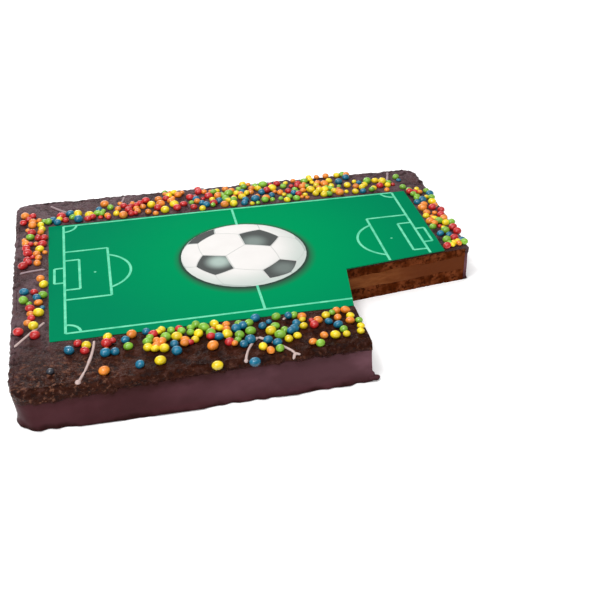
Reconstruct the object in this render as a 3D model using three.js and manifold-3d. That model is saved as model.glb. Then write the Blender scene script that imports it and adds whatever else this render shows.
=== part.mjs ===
// A decorated sheet cake with one corner cut away: two layers of sponge with cream between them,
// a chocolate coat over the top and sides, a printed sugar sheet let into the coat, and round
// candies and thick lines of pink icing stuck to the rim round the sheet.
// Millimetres, +Z up, origin on the base under the middle of the cake.
import * as THREE from 'three';
import { mergeVertices } from 'three/addons/utils/BufferGeometryUtils.js';
import Module from 'manifold-3d';

const wasm = await Module();
wasm.setup();

// Size and outline of the whole cake, a little less deep at its right end and longer at its back
const WIDTH = 385;
const DEPTH = 301;
const HEIGHT = 34;
const FRONT_SKEW = 11;
const BACK_SKEW = 8;
const LEFT_SKEW = 2.5;
const CORNER_RADIUS = 14;
const OUTLINE_STEP = 19;
const STRAIGHT = 1000;
const ARC_STEPS = 3;

// Heights of the layers, each a little clear of the next
const GAP = 0.3;
const SPONGE_BOTTOM_TOP = 11.3;
const CREAM_TOP = 23.5;
const SPONGE_TOP_TOP = 31.3;

// The coat: how far its side stands back from the lip, its thickness and its clear base
const COAT_SETBACK = 1.8;
const COAT_THICKNESS = 2.2;
const COAT_BASE = 0.4;
const COAT_CEILING = SPONGE_TOP_TOP + GAP;
const COAT_INSIDE = COAT_SETBACK + COAT_THICKNESS;

// The coat's profile from its foot to its top: inset from the outline, height and unevenness
const PROFILE = [
  { inset: 0.4, z: COAT_BASE, uneven: 1.1 },
  { inset: 1.5, z: 4, uneven: 0.7 },
  { inset: 1.6, z: 26, uneven: 0.3 },
  { inset: 0.5, z: 30, uneven: 0.5 },
  { inset: 0.9, z: 32.3, uneven: 0.5 },
  { inset: 4.2, z: 33.9, uneven: 0.4 },
  { inset: 12, z: 34, uneven: 0.3 },
];
const LIP_WIDTH = 4.2;
const LIP_SLOPE = 0.5;
const RIM_WAVE = 0.6;
const FLAT_WITHIN = 20;

// Below this height the side leans: in at the left and its corners, and out along the front
const LEAN_HEIGHT = 22;
const LEFT_LEAN = 2.5;
const CORNER_TAPER = 2;
const FRONT_FLARE = 4.5;
const FLARE_START = -185;
const FLARE_FULL = -120;

// The two cuts that take the corner away: their meeting point, and where each one runs
const CUT_CORNER = new THREE.Vector2(78.9, -34.4);
const CUT_BEND = new THREE.Vector2(70.8, -90.8);
const CUT_FRONT = new THREE.Vector2(71.8, -150.8);
const CUT_RISE = 0.128;
const CUT_STEP = 9;
const BEYOND = 30;

// Candies: radius range, share of small ones, and how they sit in the coat
const CANDY_RADIUS = { least: 2.9, spread: 1.2, small: 2.2, smallShare: 0.08 };
const CANDY_STRETCH = 0.16;
const CANDY_HEIGHT_RATIO = 0.82;
const CANDY_SINK = 1.2;
const CANDY_SIDES = 5;
const CANDY_SPACING = 0.92;
const CANDY_TRIES = 60;
const CANDY_SEED = 20417;

// Places where candies lie: x and y ranges, and how many lie there
const CANDY_PATCHES = [
  // Front rim, from left to right
  { x: [-151, -136], y: [-113, -97], count: 4 },
  { x: [-124, -100], y: [-115, -94], count: 8 },
  { x: [-92, -72], y: [-119, -92], count: 12 },
  { x: [-72, -53], y: [-117, -92], count: 11 },
  { x: [-50, -30], y: [-113, -92], count: 8 },
  { x: [-34, -14], y: [-127, -98], count: 9 },
  { x: [-14, 22], y: [-130, -93], count: 13 },
  { x: [24, 40], y: [-137, -97], count: 7 },
  { x: [44, 70], y: [-131, -95], count: 12 },
  // Left rim, from the back to the front
  { x: [-187, -178], y: [106, 121], count: 3 },
  { x: [-179, -156], y: [99, 108], count: 6 },
  { x: [-186, -167], y: [27, 98], count: 18 },
  { x: [-174, -167], y: [-9, 13], count: 2 },
  { x: [-184, -167], y: [-41, -14], count: 7 },
  { x: [-180, -168], y: [-67, -48], count: 4 },
  // Back rim, from left to right
  { x: [-156, -116], y: [99, 117], count: 10 },
  { x: [-116, -58], y: [99, 129], count: 17 },
  { x: [-58, 2], y: [98, 135], count: 21 },
  { x: [2, 62], y: [97, 137], count: 23 },
  { x: [62, 122], y: [96, 133], count: 21 },
  { x: [122, 172], y: [96, 124], count: 10 },
  // Right rim
  { x: [170, 190], y: [-20, 92], count: 30 },
];

// Candies that lie alone, or that are the largest of their group
const LONE_CANDIES = [
  { x: -162.5, y: -129, radius: 2.9 },
  { x: -124.7, y: -136.4, radius: 4 },
  { x: -99.2, y: -134.3, radius: 3.5 },
  { x: -84.3, y: -133.6, radius: 4 },
  { x: -71.5, y: -124.5, radius: 4 },
  { x: -44.8, y: -123.7, radius: 4.2 },
  { x: -44.7, y: -146.2, radius: 4 },
  { x: -17.5, y: -147, radius: 3.9 },
  { x: -8.9, y: -132.2, radius: 3.3 },
  { x: -4.2, y: -138, radius: 3.1 },
  { x: 2.9, y: -137, radius: 3.3 },
  { x: 0.5, y: -113.5, radius: 4.2 },
  { x: -186.3, y: -73.1, radius: 3.9 },
  { x: -173.9, y: -80.2, radius: 4 },
];

// Lines of pink icing: start, middle and end of each one, and the size of its blob end
const ICING_WIDTH = 2.2;
const ICING_HEIGHT = 1.7;
const ICING_SINK = 0.7;
const ICING_STEP = 13;
const BLOB_RISE = 0.6;
const ICING_LINES = [
  { path: [[-167, -61.5], [-176, -72], [-189, -90]], blob: 0 },
  { path: [[-188, 17.5], [-178, 20], [-167.5, 20.5]], blob: 0 },
  { path: [[-130.5, -95], [-132, -118], [-143.5, -144.5]], blob: 2.4 },
  { path: [[-10, -117], [-20, -128], [-23.5, -144]], blob: 1.8 },
  { path: [[-10, -117], [3, -128], [13.5, -143]], blob: 1.8 },
  { path: [[12, -99], [15.5, -96], [19, -93]], blob: 0 },
  { path: [[-163, 139], [-151, 124], [-138, 113.5]], blob: 0 },
  { path: [[-100, 121], [-97, 129], [-94, 141]], blob: 0 },
  { path: [[157, 114.5], [161, 125], [164, 136]], blob: 0 },
];

// A tail of chocolate that stays on the coat's foot where the front cut ends
const TAIL = { x: 73, inset: -1.4, z: 2.6, radius: 2.6, stretch: 1.9, turn: 0, tilt: 0 };

// Corners of the whole cake and of the printed sugar sheet, anticlockwise from the front left
const CORNERS = [
  new THREE.Vector2(-WIDTH / 2, -DEPTH / 2),
  new THREE.Vector2(WIDTH / 2, -DEPTH / 2 + FRONT_SKEW),
  new THREE.Vector2(WIDTH / 2, DEPTH / 2 - BACK_SKEW),
  new THREE.Vector2(-WIDTH / 2 - LEFT_SKEW, DEPTH / 2),
];
const SHEET_CORNERS = [
  new THREE.Vector2(-163.5, -89.2),
  new THREE.Vector2(168, -91.2),
  new THREE.Vector2(168, 94),
  new THREE.Vector2(-164.5, 97.5),
];
const SHEET_THICKNESS = 0.9;

// Candies use a small whole-number generator, so the same seed gives the same candies everywhere
function makeRandom(seed) {
  let state = seed >>> 0;
  return () => {
    state = (Math.imul(state, 1664525) + 1013904223) >>> 0;
    return state / 4294967296;
  };
}

// Smooth unevenness from -1 to 1, fixed by the place alone
function unevenness(x, y, z) {
  const long = Math.sin(x / 27 + y / 35 + z / 9 + 0.6);
  const middle = Math.sin(x / 13.7 - y / 11.3 + z / 5 + 2.1);
  const short = Math.sin(x / 7.9 + y / 6.7 - z / 3.1 + 4.4);
  return 0.5 * long + 0.3 * middle + 0.2 * short;
}

// The sides between corners, each with its direction and its inward normal
function sidesOf(corners) {
  return corners.map((from, index) => {
    const along = corners[(index + 1) % corners.length].clone().sub(from).normalize();
    return { from, along, inward: new THREE.Vector2(-along.y, along.x) };
  });
}

const CAKE_SIDES = sidesOf(CORNERS);
const SHEET_SIDES = sidesOf(SHEET_CORNERS);

// Distances of a place inside each of the sides, the nearest first
function distancesInside(sides, x, y) {
  const distances = sides.map(({ from, inward }) => (x - from.x) * inward.x + (y - from.y) * inward.y);
  return distances.sort((a, b) => a - b);
}

// How far inside the cake's outline a place is, with the corners rounded
function insetAt(x, y) {
  const [nearest, second] = distancesInside(CAKE_SIDES, x, y);
  if (second >= CORNER_RADIUS) return nearest;
  const across = CORNER_RADIUS - nearest;
  const beside = CORNER_RADIUS - second;
  return CORNER_RADIUS - Math.sqrt(across * across + beside * beside);
}

// How far outside the sugar sheet a place is
function besideSheet(x, y) {
  return -distancesInside(SHEET_SIDES, x, y)[0];
}

// Height of the coat's top at a place on the rim: rounded towards the lip, flat by the sheet
function rimHeight(x, y) {
  const evenness = Math.min(Math.max(besideSheet(x, y), 0) / FLAT_WITHIN, 1);
  const rounding = LIP_SLOPE * Math.max(LIP_WIDTH - insetAt(x, y), 0);
  return HEIGHT - rounding + RIM_WAVE * evenness * unevenness(x, y, 0);
}

// Centre of the rounded corner between two sides
function arcCentre(before, after) {
  const from = before.from.clone().addScaledVector(before.inward, CORNER_RADIUS);
  const target = after.from.clone().addScaledVector(after.inward, CORNER_RADIUS);
  const cross = before.along.cross(after.along);
  return from.addScaledVector(before.along, target.sub(from).cross(after.along) / cross);
}

// Points round the outline, at most this far apart on the sides, each with its outward normal
function outlinePoints(spacing) {
  const points = [];
  CAKE_SIDES.forEach((side, index) => {
    const before = CAKE_SIDES[(index + 3) % 4];
    const after = CAKE_SIDES[(index + 1) % 4];
    const centre = arcCentre(before, side);
    const startAngle = Math.atan2(-before.inward.y, -before.inward.x);
    const endAngle = Math.atan2(-side.inward.y, -side.inward.x);
    const turn = THREE.MathUtils.euclideanModulo(endAngle - startAngle, 2 * Math.PI);
    for (let step = 0; step <= ARC_STEPS; step++) {
      const angle = startAngle + (turn * step) / ARC_STEPS;
      const normal = new THREE.Vector2(Math.cos(angle), Math.sin(angle));
      points.push({ place: centre.clone().addScaledVector(normal, CORNER_RADIUS), normal });
    }
    const start = points[points.length - 1].place;
    const end = arcCentre(side, after).addScaledVector(side.inward, -CORNER_RADIUS);
    const steps = Math.ceil(start.distanceTo(end) / spacing);
    for (let step = 1; step < steps; step++) {
      points.push({ place: start.clone().lerp(end, step / steps), normal: side.inward.clone().negate() });
    }
  });
  return points;
}

// How far the foot stands further in than the top here, or further out where this is negative
function footLean(place, normal) {
  const left = LEFT_LEAN * Math.max(-normal.x, 0);
  const corner = CORNER_TAPER * Math.abs(2 * normal.x * normal.y);
  const front = Math.max(-normal.y, 0) * THREE.MathUtils.smoothstep(place.x, FLARE_START, FLARE_FULL);
  return left + corner - FRONT_FLARE * front;
}

// A closed mesh from rings of the same number of points, one above or inside the next
function loftRings(rings) {
  const count = rings[0].length;
  const positions = rings.flat().flatMap((point) => [point.x, point.y, point.z]);
  const indices = [];
  for (let ring = 0; ring + 1 < rings.length; ring++) {
    for (let step = 0; step < count; step++) {
      const next = (step + 1) % count;
      const low = ring * count;
      const high = low + count;
      indices.push(low + step, low + next, high + next);
      indices.push(low + step, high + next, high + step);
    }
  }
  const flat = (ring) => ring.map((point) => new THREE.Vector2(point.x, point.y));
  const last = (rings.length - 1) * count;
  THREE.ShapeUtils.triangulateShape(flat(rings[0]), []).forEach(([a, b, c]) => indices.push(a, c, b));
  THREE.ShapeUtils.triangulateShape(flat(rings[rings.length - 1]), []).forEach(([a, b, c]) => {
    indices.push(last + a, last + b, last + c);
  });
  const geometry = new THREE.BufferGeometry();
  geometry.setAttribute('position', new THREE.Float32BufferAttribute(positions, 3));
  geometry.setIndex(indices);
  return geometry;
}

// Conversions between three.js geometry and solids that can be cut and joined
function toSolid(geometry) {
  const bare = geometry.clone();
  bare.deleteAttribute('normal');
  bare.deleteAttribute('uv');
  const merged = mergeVertices(bare, 1e-4);
  return new wasm.Manifold(new wasm.Mesh({
    numProp: 3,
    vertProperties: new Float32Array(merged.attributes.position.array),
    triVerts: new Uint32Array(merged.index.array),
  }));
}

function toGeometry(solid) {
  const mesh = solid.getMesh();
  const geometry = new THREE.BufferGeometry();
  geometry.setAttribute('position', new THREE.Float32BufferAttribute(mesh.vertProperties, mesh.numProp));
  geometry.setIndex(Array.from(mesh.triVerts));
  geometry.computeVertexNormals();
  return geometry;
}

// The largest body alone, which drops loose scraps and fills sealed hollows
function largestBody(solid) {
  const bodies = solid.decompose();
  return bodies.reduce((best, body) => (body.volume() > best.volume() ? body : best));
}

// An upright block over four corners, grown by a margin on every side
function cornerBlock(corners, margin, bottom, top) {
  const grown = corners.map(({ x, y }) => (
    new THREE.Vector2(x + Math.sign(x) * margin, y + Math.sign(y) * margin)));
  const options = { depth: top - bottom, bevelEnabled: false };
  const geometry = new THREE.ExtrudeGeometry(new THREE.Shape(grown), options);
  geometry.translate(0, 0, bottom);
  return toSolid(geometry);
}

// An upright block that stands this far inside the cake's outline, and inside a foot that leans in
function insetBlock(inset, bottom, top) {
  const ring = (z) => outlinePoints(STRAIGHT).map(({ place, normal }) => {
    const flat = place.clone().addScaledVector(normal, -inset - Math.max(footLean(place, normal), 0));
    return new THREE.Vector3(flat.x, flat.y, z);
  });
  return toSolid(loftRings([ring(bottom), ring(top)]));
}

// Where the cuts run: x of the front cut at a depth, y of the side cut at a width
function frontCutX(y) {
  const [near, far] = y > CUT_BEND.y ? [CUT_CORNER, CUT_BEND] : [CUT_BEND, CUT_FRONT];
  return near.x + ((far.x - near.x) * (y - near.y)) / (far.y - near.y);
}

function sideCutY(x) {
  return CUT_CORNER.y + CUT_RISE * (x - CUT_CORNER.x);
}

// The space of the missing corner. Its two walls are uneven where they cross crumb or cream.
function cutSpace(bottom, top, levels, inset, roughness) {
  const frontEnd = CUT_FRONT.y - BEYOND;
  const rightEnd = WIDTH / 2 + BEYOND;
  const frontSteps = Math.round((CUT_CORNER.y - CUT_FRONT.y) / CUT_STEP);
  const sideSteps = Math.round((WIDTH / 2 - CUT_CORNER.x) / CUT_STEP);
  const rings = [];
  for (let level = 0; level <= levels; level++) {
    const z = bottom + ((top - bottom) * level) / levels;
    const ring = [new THREE.Vector3(rightEnd, frontEnd, z)];
    for (let step = 0; step <= sideSteps; step++) {
      const x = rightEnd + ((CUT_CORNER.x - rightEnd) * step) / sideSteps;
      const rough = step === sideSteps ? 0 : roughness * unevenness(x * 2.3, z * 3, z);
      ring.push(new THREE.Vector3(x, sideCutY(x) + inset + rough, z));
    }
    ring[ring.length - 1].x -= inset;
    for (let step = 1; step <= frontSteps; step++) {
      const y = CUT_CORNER.y + ((frontEnd - CUT_CORNER.y) * step) / frontSteps;
      const rough = roughness * unevenness(z * 3, y * 2.3, z);
      ring.push(new THREE.Vector3(frontCutX(y) - inset - rough, y, z));
    }
    rings.push(ring);
  }
  return toSolid(loftRings(rings));
}

// One layer of sponge or cream, out to the coat and back to the cuts
function layerGeometry(bottom, top, cutInset, roughness) {
  const whole = insetBlock(COAT_INSIDE + GAP, bottom, top);
  return toGeometry(whole.subtract(cutSpace(bottom - 1, top + 1, 3, cutInset, roughness)));
}

// The coat's outer form, filled: foot, side, lip and the rim up to the sheet
function coatBody() {
  const points = outlinePoints(OUTLINE_STEP);
  const rings = PROFILE.map(({ inset, z, uneven }) => points.map(({ place, normal }) => {
    const lean = footLean(place, normal) * Math.max(1 - z / LEAN_HEIGHT, 0);
    const shift = inset + lean - uneven * unevenness(place.x, place.y, z);
    const flat = place.clone().addScaledVector(normal, -shift);
    const onTop = z > HEIGHT - 0.5;
    return new THREE.Vector3(flat.x, flat.y, onTop ? rimHeight(flat.x, flat.y) : z);
  }));
  const edge = PROFILE[PROFILE.length - 1].inset;
  const sheet = new THREE.Box2().setFromPoints(SHEET_CORNERS);
  const size = sheet.getSize(new THREE.Vector2());
  const centre = sheet.getCenter(new THREE.Vector2());
  rings.push(points.map(({ place }) => new THREE.Vector3(
    (place.x * size.x) / (WIDTH - 2 * edge) + centre.x,
    (place.y * size.y) / (DEPTH - 2 * edge) + centre.y,
    HEIGHT,
  )));
  return toSolid(loftRings(rings));
}

// One round candy of few sides, lying at a tilt with its foot in the coat
function candySolid({ x, y, z, radius, stretch, turn, tilt }) {
  const geometry = new THREE.SphereGeometry(radius, CANDY_SIDES, 3);
  geometry.rotateX(Math.PI / 2);
  geometry.scale(stretch, 1, CANDY_HEIGHT_RATIO);
  geometry.rotateX(tilt);
  geometry.rotateZ(turn);
  geometry.translate(x, y, z);
  return toSolid(geometry);
}

// Whether a candy of this radius may lie here, clear of the sheet, the cuts and the edge
function placeIsFree(x, y, radius, placed) {
  const clearOfCut = Math.max(frontCutX(y) - x, y - sideCutY(x));
  if (besideSheet(x, y) < 0.8 * radius + 0.5) return false;
  if (insetAt(x, y) < 0.8 * radius) return false;
  if (clearOfCut < 0.6 * radius) return false;
  return placed.every((other) => {
    const dx = other.x - x;
    const dy = other.y - y;
    const apart = CANDY_SPACING * (other.radius + radius);
    return dx * dx + dy * dy >= apart * apart;
  });
}

// All candies, the lone ones and then patch by patch, from one seeded draw
function scatterCandies() {
  const random = makeRandom(CANDY_SEED);
  const candies = [];
  const add = (x, y, radius) => {
    const stretch = 1 + CANDY_STRETCH * random();
    const turn = 2 * Math.PI * random();
    const tilt = 0.7 * (random() - 0.5);
    const z = rimHeight(x, y) + CANDY_HEIGHT_RATIO * radius - CANDY_SINK;
    candies.push({ x, y, z, radius, stretch, turn, tilt });
  };
  LONE_CANDIES.forEach(({ x, y, radius }) => add(x, y, radius));
  CANDY_PATCHES.forEach((patch) => {
    for (let number = 0; number < patch.count; number++) {
      const small = random() < CANDY_RADIUS.smallShare;
      const grown = CANDY_RADIUS.least + CANDY_RADIUS.spread * random();
      const radius = small ? CANDY_RADIUS.small : grown;
      for (let attempt = 0; attempt < CANDY_TRIES; attempt++) {
        const x = patch.x[0] + (patch.x[1] - patch.x[0]) * random();
        const y = patch.y[0] + (patch.y[1] - patch.y[0]) * random();
        if (placeIsFree(x, y, radius, candies)) {
          add(x, y, radius);
          break;
        }
      }
    }
  });
  return candies;
}

// One line of icing: a low four-sided bar along a smooth curve, with a blob where it ended
function icingSolids({ path, blob }) {
  const curve = new THREE.QuadraticBezierCurve3(...path.map(([x, y]) => (
    new THREE.Vector3(x, y, rimHeight(x, y) - ICING_SINK))));
  const profile = new THREE.Shape([
    new THREE.Vector2(ICING_SINK, ICING_WIDTH / 2),
    new THREE.Vector2(-ICING_HEIGHT, ICING_WIDTH / 4),
    new THREE.Vector2(-ICING_HEIGHT, -ICING_WIDTH / 4),
    new THREE.Vector2(ICING_SINK, -ICING_WIDTH / 2),
  ]);
  const steps = Math.max(2, Math.round(curve.getLength() / ICING_STEP));
  const line = new THREE.ExtrudeGeometry(profile, { steps, bevelEnabled: false, extrudePath: curve });
  const solids = [toSolid(line)];
  if (blob > 0) {
    const [x, y] = path[path.length - 1];
    const z = rimHeight(x, y) + BLOB_RISE;
    solids.push(candySolid({ x, y, z, radius: blob, stretch: 1, turn: 0, tilt: 0 }));
  }
  return solids;
}

// The whole coat: the body, hollowed over the layers and under the sheet and cut at the missing
// corner, with the tail, the candies and the icing joined on
function coatGeometry() {
  const inside = insetBlock(COAT_INSIDE, -1, COAT_CEILING);
  const pocket = cornerBlock(SHEET_CORNERS, GAP, HEIGHT - SHEET_THICKNESS - GAP, HEIGHT + BEYOND);
  const missing = cutSpace(-1, HEIGHT + 4, 4, 0, 0.35);
  const tray = largestBody(coatBody().subtract(inside).subtract(pocket).subtract(missing));
  const { from, along } = CAKE_SIDES[0];
  const tail = candySolid({ ...TAIL, y: from.y + ((TAIL.x - from.x) * along.y) / along.x + TAIL.inset });
  const toppings = [...scatterCandies().map(candySolid), ...ICING_LINES.flatMap(icingSolids)];
  return toGeometry(largestBody([tail, ...toppings].reduce((coat, piece) => coat.add(piece), tray)));
}

// The sugar sheet, cut through with the cake
function sheetGeometry() {
  const whole = cornerBlock(SHEET_CORNERS, 0, HEIGHT - SHEET_THICKNESS, HEIGHT);
  return toGeometry(whole.subtract(cutSpace(HEIGHT - 4, HEIGHT + 4, 1, 0, 0)));
}

function addNode(group, name, geometry, color, roughness) {
  const mesh = new THREE.Mesh(geometry, new THREE.MeshStandardMaterial({ color, roughness, metalness: 0 }));
  mesh.name = name;
  group.add(mesh);
}

const cake = new THREE.Group();
addNode(cake, 'sponge_bottom', layerGeometry(0, SPONGE_BOTTOM_TOP, 0.5, 0.5), '#7b4a2e', 0.9);
addNode(cake, 'cream_filling', layerGeometry(SPONGE_BOTTOM_TOP + GAP, CREAM_TOP, 0.2, 0.3), '#8f5a3c', 0.6);
addNode(cake, 'sponge_top', layerGeometry(CREAM_TOP + GAP, SPONGE_TOP_TOP, 0.6, 0.5), '#7b4a2e', 0.9);
addNode(cake, 'chocolate_coat', coatGeometry(), '#3f2723', 0.5);
addNode(cake, 'sugar_sheet', sheetGeometry(), '#0a9b5e', 0.5);

export default cake;
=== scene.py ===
# Looks of a decorated sheet cake with one corner cut away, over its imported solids.
# Sizes and places are in millimetres. Meshes, heights in materials and lights are in metres.
import itertools
import math

import bmesh
import bpy
import numpy as np
from mathutils import Euler, Matrix, Vector


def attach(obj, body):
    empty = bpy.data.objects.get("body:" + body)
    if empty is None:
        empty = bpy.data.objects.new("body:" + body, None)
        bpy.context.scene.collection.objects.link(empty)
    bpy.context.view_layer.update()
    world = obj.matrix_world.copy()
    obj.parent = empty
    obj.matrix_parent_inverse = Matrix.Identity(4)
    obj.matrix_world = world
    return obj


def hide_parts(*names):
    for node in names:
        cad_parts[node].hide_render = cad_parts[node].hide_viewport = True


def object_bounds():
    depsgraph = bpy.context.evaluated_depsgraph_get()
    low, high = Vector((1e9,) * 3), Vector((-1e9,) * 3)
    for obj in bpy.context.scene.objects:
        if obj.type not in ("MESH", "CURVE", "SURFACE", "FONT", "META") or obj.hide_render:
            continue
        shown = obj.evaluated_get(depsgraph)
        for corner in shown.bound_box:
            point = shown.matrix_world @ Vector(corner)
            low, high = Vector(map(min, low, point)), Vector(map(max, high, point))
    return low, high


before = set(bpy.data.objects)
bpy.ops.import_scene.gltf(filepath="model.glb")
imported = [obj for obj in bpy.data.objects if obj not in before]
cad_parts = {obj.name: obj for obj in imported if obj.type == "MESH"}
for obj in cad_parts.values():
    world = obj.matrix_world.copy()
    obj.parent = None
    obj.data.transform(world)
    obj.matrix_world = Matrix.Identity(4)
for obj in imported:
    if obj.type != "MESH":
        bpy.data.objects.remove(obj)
cad_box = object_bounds()

MM = 0.001

# How far every mesh stays inside the box of the solids
CLEAR = 0.03

# Size and outline of the cake, as in the solids
WIDTH = 385
DEPTH = 301
HEIGHT = 34
FRONT_SKEW = 11
BACK_SKEW = 8
LEFT_SKEW = 2.5
CORNER_RADIUS = 14
CORNERS = np.array([
    (-WIDTH / 2, -DEPTH / 2),
    (WIDTH / 2, -DEPTH / 2 + FRONT_SKEW),
    (WIDTH / 2, DEPTH / 2 - BACK_SKEW),
    (-WIDTH / 2 - LEFT_SKEW, DEPTH / 2),
])
SHEET_CORNERS = np.array([(-163.5, -89.2), (168, -91.2), (168, 94), (-164.5, 97.5)])

# Layers, from the base up: bottom, top, how far each stands back at the cuts, and its roughness
LAYERS = {
    "sponge_bottom": (0.0, 11.45, 0.5, 0.55),
    "cream_filling": (11.45, 23.65, 0.2, 0.22),
    "sponge_top": (23.65, 31.65, 0.5, 0.55),
}
COAT_INSIDE = 4
COAT_CEILING = 31.6
SHEET_BOTTOM = 33.1

# The coat's profile up to the lip's inner edge: inset from the outline and height
PROFILE = [
    (0.4, 0.4), (1.0, 2), (1.5, 4), (1.6, 15), (1.6, 26.5),
    (0.6, 29), (0.5, 31), (1.1, 32.6), (2.4, 33.5), (4.2, 33.9),
]
PROFILE_GRAIN = 0.1
PROFILE_BLUR = 15
FIRST_RING = 0.1
LAST_RING_GAP = 0.5
RING_HEIGHTS = (4, 7, 21, 25)
RING_STEPS = (0.85, 2.0, 2.0, 0.62)
INNER_HEIGHTS = (15, 0.4)

# The foot and the lip, which are rougher than the side between them
SIDE_WAVE = 0.25
FOOT_WAVE = 0.5
FOOT_HEIGHT = 5.5
FOOT_REACH = 0.5
LEAST_HEIGHT = 0.15
RISE_SHARE = 0.6
LIP_START = 26.5
LIP_BLEND = 2
LIP_WIDTH = 4.2
LIP_FADE = 6
LIP_SLOPE = 0.5
LIP_SAG = 1.6
SAG_REACH = 5

# The rim from the lip to the sheet's edge, which lies over it
RIM_WAVE = 0.6
RIM_FADE = 4
LEAST_BUMP = 0.15
FLAT_WITHIN = 20
RIM_RINGS = 46
RIM_CROWDING = 1.35
RIM_TUCK = 2
RIM_GAP = 0.15
UNDERLAY_GAP = 0.12
UNDERLAY_LIFT = 0.02
UNDERLAY_SPACING = 40
SHEET_SPACING = 2.4
SHEET_SINK = 0.03
SHEET_WAVE = 0.07
SHEET_SQUEEZE = 0.7
SHEET_STEP = 0.45
SHEET_STEP_WIDTH = 1.2
EDGE_OUTWARD = 0.2
EDGE_WITHIN = 0.1
EDGE_SLANT = 1
COLUMN_STEP = 1.2
OUTLINE_PULL = 12

# Relief, in rows of noise: height, size of the features, seed, and how far they are squeezed in height
SIDE_RELIEF = [(0.16, 16, 3, 0.35)]
FOOT_RELIEF = [(2.4, 15, 19, 0.2), (1.5, 6, 7, 0.3)]
LIP_RELIEF = [(0.85, 9, 9, 1), (1.15, 4, 11, 1)]
LIP_GRAIN = [(0.55, 2.2, 17, 1)]
LIP_WAVES = [(0.7, 17, 13, 1), (0.5, 6.5, 15, 1)]
RIM_RELIEF = [(0.55, 12, 21, 1), (0.8, 5, 23, 1), (0.16, 2.8, 25, 1)]
RIM_EDGE_RELIEF = [(0.1, 5, 23, 1), (0.8, 2.8, 25, 1)]
RIM_EDGE_LUMPS = [(0.85, 7, 27, 1)]
TAIL_RELIEF = [(0.3, 2.6, 31, 1)]
LAYER_WAVES = [(1.7, 11, 41, 1)]
CREAM_RELIEF = [(0.7, 9, 43, 2.5), (0.3, 2.5, 45, 1)]
SPONGE_LUMPS = [(0.8, 4.2, 47, 1)]
SPONGE_PORES = [(1.1, 1.9, 49, 1.4)]
PORE_LEVEL = 0.385
CANDY_RELIEF = [(0.05, 1.7, 61, 1)]
ICING_WAVES = [(0.18, 5, 71, 1)]
SHEET_WAVES = [(0.45, 13, 81, 1)]

# Where the side leans below this height: in at the left and its corners, out along the front
LEAN_HEIGHT = 22
LEFT_LEAN = 2.5
CORNER_TAPER = 2
FRONT_FLARE = 4.5
FLARE_START = -185
FLARE_FULL = -120

# Where the foot spreads furthest, at the front left
TOE = np.array([-174, -150])
TOE_REACH = 3.2
TOE_SPREAD = 18

# The two cuts that take the corner away
CUT_CORNER = np.array([78.9, -34.4])
CUT_BEND = np.array([70.8, -90.8])
CUT_FRONT = np.array([71.8, -150.8])
CUT_RISE = 0.128
CUT_GRAIN = 0.75
CUT_MARGIN = 2
LEAST_SETBACK = 0.05
LAYER_STEP = 12

# How far the coat's outline runs past the front and the side cut, and where each cut is then made
PAST_CUTS = (9, 32)
FRONT_CUT_ZONE = (55, -84)
SIDE_CUT_ZONE = (162, 10)

# A tail of chocolate on the coat's foot at the front cut, and the drop above it
TAIL = {"x": 73, "inset": -1.4, "z": 2.6, "radius": 2.6, "stretch": 1.9}
DROP_RADII = (2.6, 2.2, 4.2)
DROP_SHIFT = (-1.4, 1.2, 2)

# Candies, drawn by the same seeded rule as in the solids, and the smaller ones that fill the gaps
CANDY_LEAST = 2.9
CANDY_SPREAD = 1.2
CANDY_SMALL = 2.2
CANDY_SMALL_SHARE = 0.08
CANDY_STRETCH = 0.16
CANDY_HEIGHT_RATIO = 0.82
CANDY_SINK = 1.2
CANDY_SPACING = 0.92
CANDY_TILT = 0.7
SHEET_ROOM = 0.5
EDGE_ROOM = 0.8
CUT_ROOM = 0.6
CANDY_TRIES = 60
CANDY_SEED = 20417
FILL_LEAST = 2.2
FILL_SPREAD = 1.2
FILL_SPACING = 0.74
FILL_LIFT = 1.3
FILL_SEED = 5150
COLOUR_SEED = 15180

# Where candies lie: x and y ranges, how many the solids have there, and how many fill the gaps
CANDY_PATCHES = [
    ((-151, -136), (-113, -97), 4, 0),
    ((-124, -100), (-115, -94), 8, 1),
    ((-92, -72), (-119, -92), 12, 4),
    ((-72, -53), (-117, -92), 11, 4),
    ((-50, -30), (-113, -92), 8, 3),
    ((-34, -14), (-127, -98), 9, 2),
    ((-14, 22), (-130, -93), 13, 3),
    ((24, 40), (-137, -97), 7, 2),
    ((44, 70), (-131, -95), 12, 3),
    ((-187, -178), (106, 121), 3, 1),
    ((-179, -156), (99, 108), 6, 2),
    ((-186, -167), (27, 98), 18, 6),
    ((-174, -167), (-9, 13), 2, 0),
    ((-184, -167), (-41, -14), 7, 2),
    ((-180, -168), (-67, -48), 4, 1),
    ((-156, -116), (99, 117), 10, 5),
    ((-116, -58), (99, 129), 17, 11),
    ((-58, 2), (98, 135), 21, 15),
    ((2, 62), (97, 137), 23, 18),
    ((62, 122), (96, 133), 21, 18),
    ((122, 172), (96, 124), 10, 10),
    ((170, 190), (-20, 92), 30, 20),
    ((-56, 20), (135, 143), 0, 6),
    ((20, 125), (132, 141), 0, 10),
]
LONE_CANDIES = [
    (-162.5, -129, 2.9, "dark"),
    (-124.7, -136.4, 4, "orange"),
    (-99.2, -134.3, 3.5, "blue"),
    (-84.3, -133.6, 4, "yellow"),
    (-71.5, -124.5, 4, "blue"),
    (-44.8, -123.7, 4.2, "orange"),
    (-44.7, -146.2, 4, "yellow"),
    (-17.5, -147, 3.9, "blue"),
    (-8.9, -132.2, 3.3, "yellow"),
    (-4.2, -138, 3.1, "orange"),
    (2.9, -137, 3.3, "green"),
    (0.5, -113.5, 4.2, "yellow"),
    (-186.3, -73.1, 3.9, "red"),
    (-173.9, -80.2, 4, "red"),
]
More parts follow.
